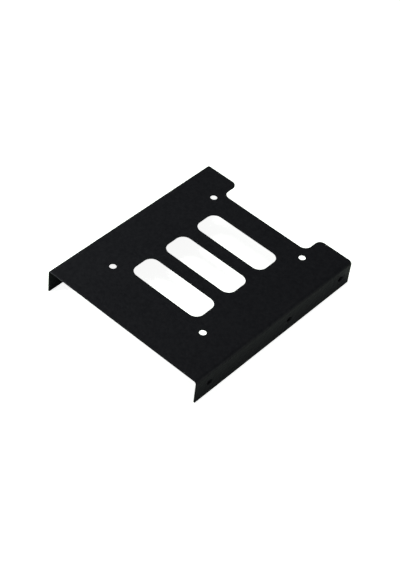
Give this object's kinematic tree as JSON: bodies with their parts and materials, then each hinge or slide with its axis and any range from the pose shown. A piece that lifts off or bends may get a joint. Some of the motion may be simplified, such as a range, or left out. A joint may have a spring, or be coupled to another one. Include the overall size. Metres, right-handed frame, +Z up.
{
  "type": "drive bay adapter bracket",
  "caption": "Folded black sheet-steel bracket that holds a small drive in a larger drive bay, with slotted top plate, side flanges, screw holes and a rear connector notch.",
  "frame": {"origin": "on the surface that the bracket stands on, midway between its flanges and midway between its ends", "axes": "+Z up, +Y from the plain front edge to the notched rear edge, +X to the right flange"},
  "size_m": [0.1014, 0.1196, 0.0152],
  "materials": {
    "powder_coated_steel": "matte black powder coat with a fine texture"
  },
  "bodies": {
    "root": {"bracket": "powder_coated_steel"}
  },
  "joints": []
}
